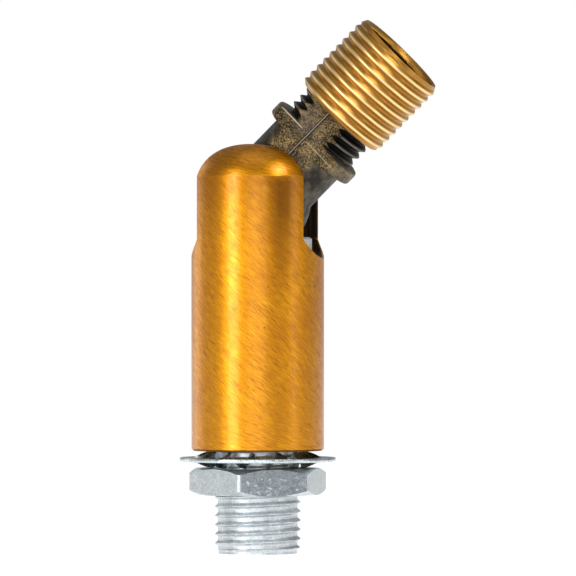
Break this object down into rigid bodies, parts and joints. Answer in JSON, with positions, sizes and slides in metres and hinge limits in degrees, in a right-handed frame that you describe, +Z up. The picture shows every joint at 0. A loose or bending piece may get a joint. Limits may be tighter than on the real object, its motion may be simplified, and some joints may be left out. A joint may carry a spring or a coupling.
{
  "type": "pendant lamp swivel joint",
  "caption": "Hang-straight swivel joint: slotted domed barrel with a tilting hollow threaded arm, adapter sleeve, threaded nipple, lock washer and hex nut.",
  "frame": {"origin": "centre of the nipple's lower end face, where the joint is screwed in", "axes": "+Z up the nipple and barrel axis; the slot runs along X and the arm leans towards +X at rest; the arm tilts about Y"},
  "size_m": [0.0396, 0.024, 0.0819],
  "materials": {
    "antique_brass": "brushed, clear lacquered",
    "zinc_plate": "bright zinc plated",
    "spring_steel": "oiled spring wire",
    "bronze_cast": "die cast, antique bronze plated, worn",
    "bright_brass": "machined, bright"
  },
  "bodies": {
    "barrel": {"housing": "antique_brass", "base_plug": "bright_brass", "nipple": "zinc_plate", "seat_spring": "spring_steel", "thrust_washer": "spring_steel", "seat_cup": "zinc_plate"},
    "arm": {"arm": "bronze_cast"},
    "sleeve": {"thread_sleeve": "bright_brass"},
    "washer": {"lock_washer": "zinc_plate"},
    "nut": {"hex_nut": "zinc_plate"}
  },
  "joints": [
    {"name": "arm_tilt", "type": "hinge", "parent": "barrel", "child": "arm", "pos_m": [0, 0, 0.0543], "axis": [0, 1, 0], "range_deg": [-125, 35]},
    {"name": "sleeve_travel", "type": "slide", "parent": "arm", "child": "sleeve", "axis": [0.7071, 0, 0.7071], "range_m": [-0.0044, 0.005]},
    {"name": "washer_travel", "type": "slide", "parent": "barrel", "child": "washer", "axis": [0, 0, -1], "range_m": [0, 0.00846]},
    {"name": "nut_spin", "type": "hinge", "parent": "washer", "child": "nut", "pos_m": [0, 0, 0.011], "axis": [0, 0, -1], "range_deg": [0, 2160]}
  ],
  "couplings": [
    {"joint": "nut_spin", "follows": "washer_travel", "rad_per_m": 4452.7}
  ]
}
